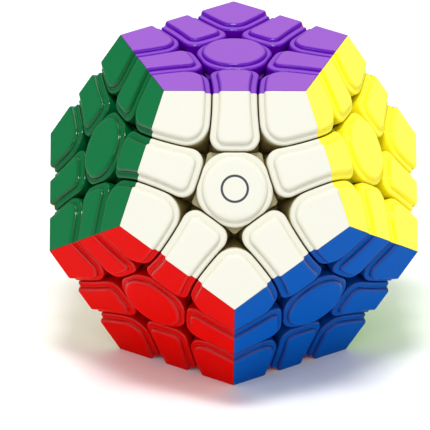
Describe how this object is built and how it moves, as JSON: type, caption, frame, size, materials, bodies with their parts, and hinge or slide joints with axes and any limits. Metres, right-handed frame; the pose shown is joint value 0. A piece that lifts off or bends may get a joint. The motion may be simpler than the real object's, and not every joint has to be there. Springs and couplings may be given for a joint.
{
  "type": "dodecahedron twisty puzzle",
  "caption": "Twelve-colour dodecahedron puzzle of glossy plastic corner, edge and centre pieces whose faces turn in fifths on a hidden ball core.",
  "frame": {"origin": "middle of the core, where the twelve turning axes meet", "axes": "+Z out through the purple face, -Z out through the pink face it rests on, white face towards -Y and tilted up"},
  "size_m": [0.0772, 0.0812, 0.0656],
  "materials": {
    "plastic_purple": "moulded ABS coloured purple in the mass, glossy",
    "plastic_white": "moulded ABS coloured white in the mass, glossy",
    "plastic_yellow": "moulded ABS coloured yellow in the mass, glossy",
    "plastic_orange": "moulded ABS coloured orange in the mass, glossy",
    "plastic_light_blue": "moulded ABS coloured light blue in the mass, glossy",
    "plastic_green": "moulded ABS coloured green in the mass, glossy",
    "plastic_blue": "moulded ABS coloured blue in the mass, glossy",
    "plastic_lime": "moulded ABS coloured lime in the mass, glossy",
    "plastic_gray": "moulded ABS coloured gray in the mass, glossy",
    "plastic_cream": "moulded ABS coloured cream in the mass, glossy",
    "plastic_red": "moulded ABS coloured red in the mass, glossy",
    "plastic_pink": "moulded ABS coloured pink in the mass, glossy",
    "core_plastic": "dark grey nylon, satin",
    "screw_steel": "zinc-plated steel",
    "spring_steel": "drawn spring wire"
  },
  "bodies": {
    "main_block": {"core_upper_half": "core_plastic", "core_lower_half": "core_plastic", "centre_screws": "screw_steel", "centre_washers": "screw_steel", "centre_springs": "spring_steel", "centre_bases_fixed": "plastic_white", "centre_cap_white": "plastic_white", "centre_cap_yellow": "plastic_yellow", "centre_cap_orange": "plastic_orange", "centre_cap_light_blue": "plastic_light_blue", "centre_cap_green": "plastic_green", "centre_cap_lime": "plastic_lime", "centre_cap_gray": "plastic_gray", "centre_cap_red": "plastic_red", "centre_cap_pink": "plastic_pink", "edges_upper_belt": "plastic_yellow", "edges_middle_belt": "plastic_green", "edges_lower_belt": "plastic_lime", "corner_green_white_red": "plastic_green", "corner_yellow_orange_lime": "plastic_yellow", "corner_orange_light_blue_gray": "plastic_orange", "corner_orange_lime_gray": "plastic_orange", "corner_pink_lime_gray": "plastic_pink"},
    "purple_layer": {"centre_base_purple": "plastic_purple", "centre_cap_purple": "plastic_purple", "edge_purple_white": "plastic_purple", "edge_purple_yellow": "plastic_purple", "edge_purple_orange": "plastic_purple", "edge_purple_light_blue": "plastic_purple", "edge_purple_green": "plastic_purple", "corner_purple_white_yellow": "plastic_purple", "corner_purple_yellow_orange": "plastic_purple", "corner_purple_orange_light_blue": "plastic_purple", "corner_purple_light_blue_green": "plastic_purple", "corner_purple_green_white": "plastic_purple"},
    "blue_layer": {"centre_base_blue": "plastic_blue", "centre_cap_blue": "plastic_blue", "edge_blue_white": "plastic_blue", "edge_blue_yellow": "plastic_blue", "edge_blue_lime": "plastic_blue", "edge_blue_red": "plastic_blue", "edge_blue_pink": "plastic_blue", "corner_blue_white_yellow": "plastic_blue", "corner_blue_yellow_lime": "plastic_blue", "corner_blue_lime_pink": "plastic_blue", "corner_blue_pink_red": "plastic_blue", "corner_blue_red_white": "plastic_blue"},
    "cream_layer": {"centre_base_cream": "plastic_cream", "centre_cap_cream": "plastic_cream", "edge_cream_light_blue": "plastic_cream", "edge_cream_green": "plastic_cream", "edge_cream_gray": "plastic_cream", "edge_cream_red": "plastic_cream", "edge_cream_pink": "plastic_cream", "corner_cream_light_blue_green": "plastic_cream", "corner_cream_green_red": "plastic_cream", "corner_cream_red_pink": "plastic_cream", "corner_cream_pink_gray": "plastic_cream", "corner_cream_gray_light_blue": "plastic_cream"}
  },
  "joints": [
    {"name": "purple_layer_turn", "type": "hinge", "parent": "main_block", "child": "purple_layer", "pos_m": [0, 0, 0.03285], "axis": [0, 0, 1], "continuous": true},
    {"name": "blue_layer_turn", "type": "hinge", "parent": "main_block", "child": "blue_layer", "pos_m": [0.01727, -0.02377, -0.01469], "axis": [0.5257, -0.7236, -0.4472], "continuous": true},
    {"name": "cream_layer_turn", "type": "hinge", "parent": "main_block", "child": "cream_layer", "pos_m": [-0.02794, 0.00908, -0.01469], "axis": [-0.8507, 0.2764, -0.4472], "continuous": true}
  ]
}
